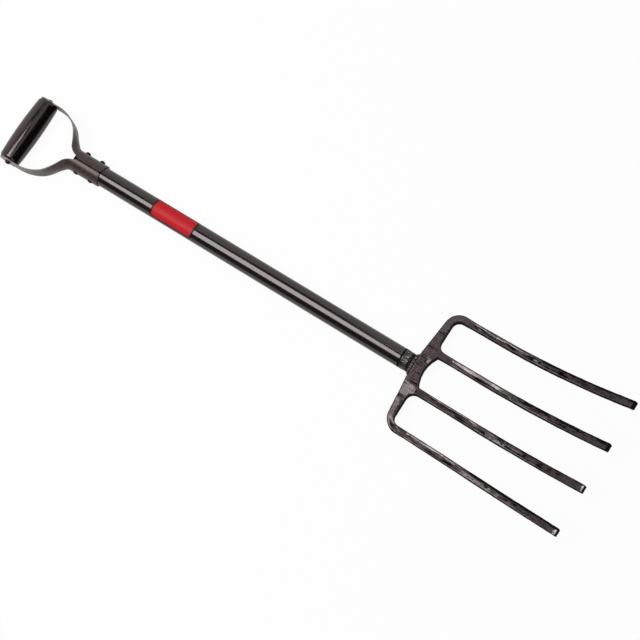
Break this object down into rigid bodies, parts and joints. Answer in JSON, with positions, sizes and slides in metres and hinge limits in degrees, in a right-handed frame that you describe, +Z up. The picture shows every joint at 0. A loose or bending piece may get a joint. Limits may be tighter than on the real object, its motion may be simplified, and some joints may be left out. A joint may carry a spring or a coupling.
{
  "type": "digging fork",
  "caption": "Long garden digging fork: black steel tube shaft, pressed steel D-handle with a turning wooden grip, and a forged head with square tines that curve forward.",
  "frame": {"origin": "on the ground under the middle of the whole fork's box, with the fork lying on its back", "axes": "+X along the shaft from the handle to the tines, +Y along the grip, +Z up, the side to which the tines curve"},
  "size_m": [1.0158, 0.2184, 0.0677],
  "materials": {
    "black_powder_coat": "semi-gloss black powder coat on steel",
    "brown_coat": "matt grey-brown coat on pressed steel",
    "lacquered_hardwood": "black gloss lacquer on turned hardwood",
    "forged_black": "black lacquer over a forged steel surface",
    "weld_metal": "rough weld bead under thin black lacquer",
    "red_film": "red printed plastic film"
  },
  "bodies": {
    "frame": {"shaft_tube": "black_powder_coat", "left_yoke": "brown_coat", "right_yoke": "brown_coat", "front_shank_rivet": "black_powder_coat", "rear_shank_rivet": "black_powder_coat", "grip_rivet": "black_powder_coat", "neck_plug": "forged_black", "tube_weld": "weld_metal", "head_weld": "weld_metal", "fork_head": "forged_black", "shaft_label": "red_film"},
    "grip": {"grip": "lacquered_hardwood"}
  },
  "joints": [
    {"name": "grip_turn", "type": "hinge", "parent": "frame", "child": "grip", "pos_m": [-0.48945, 0, 0.0184], "axis": [0, 1, 0], "continuous": true}
  ]
}
